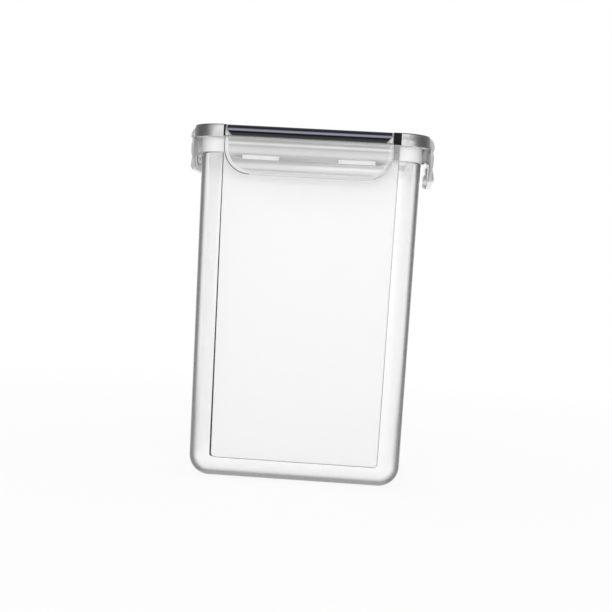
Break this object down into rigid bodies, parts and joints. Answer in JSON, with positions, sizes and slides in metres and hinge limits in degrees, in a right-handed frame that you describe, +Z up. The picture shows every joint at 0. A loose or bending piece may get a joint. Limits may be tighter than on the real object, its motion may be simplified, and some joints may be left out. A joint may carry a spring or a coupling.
{
  "type": "food canister",
  "caption": "Clear square storage canister with rounded corners and a gasketed lid that hinged flaps lock down on each side.",
  "frame": {"origin": "middle of the base, where it stands on a table", "axes": "+Z up, front face towards -Y, +X to the right seen from the front"},
  "size_m": [0.1234, 0.1234, 0.174],
  "materials": {
    "clear_canister": "clear moulded plastic, polished",
    "clear_lid": "clear moulded plastic, polished",
    "clear_flap": "clear moulded plastic with a slight haze",
    "hinge_black": "glossy blue-black plastic",
    "gasket": "translucent white silicone",
    "hinge_pin": "drawn stainless wire"
  },
  "bodies": {
    "canister": {"canister_shell": "clear_canister"},
    "lid": {"lid_shell": "clear_lid", "gasket": "gasket", "front_hinge_left_bracket": "hinge_black", "front_hinge_right_bracket": "hinge_black", "front_hinge_pin": "hinge_pin", "right_hinge_front_bracket": "hinge_black", "right_hinge_rear_bracket": "hinge_black", "right_hinge_pin": "hinge_pin", "rear_hinge_left_bracket": "hinge_black", "rear_hinge_right_bracket": "hinge_black", "rear_hinge_pin": "hinge_pin", "left_hinge_front_bracket": "hinge_black", "left_hinge_rear_bracket": "hinge_black", "left_hinge_pin": "hinge_pin"},
    "front_flap": {"front_flap": "clear_flap", "front_hinge_strip": "hinge_black"},
    "right_flap": {"right_flap": "clear_flap", "right_hinge_strip": "hinge_black"},
    "rear_flap": {"rear_flap": "clear_flap", "rear_hinge_strip": "hinge_black"},
    "left_flap": {"left_flap": "clear_flap", "left_hinge_strip": "hinge_black"}
  },
  "joints": [
    {"name": "lid_lift", "type": "slide", "parent": "canister", "child": "lid", "axis": [0, 0, 1], "range_m": [0, 0.06]},
    {"name": "front_flap_hinge", "type": "hinge", "parent": "lid", "child": "front_flap", "pos_m": [0, -0.0568, 0.171], "axis": [-1, 0, 0], "range_deg": [0, 115]},
    {"name": "right_flap_hinge", "type": "hinge", "parent": "lid", "child": "right_flap", "pos_m": [0.0568, 0, 0.171], "axis": [0, -1, 0], "range_deg": [0, 115]},
    {"name": "rear_flap_hinge", "type": "hinge", "parent": "lid", "child": "rear_flap", "pos_m": [0, 0.0568, 0.171], "axis": [1, 0, 0], "range_deg": [0, 115]},
    {"name": "left_flap_hinge", "type": "hinge", "parent": "lid", "child": "left_flap", "pos_m": [-0.0568, 0, 0.171], "axis": [0, 1, 0], "range_deg": [0, 115]}
  ]
}
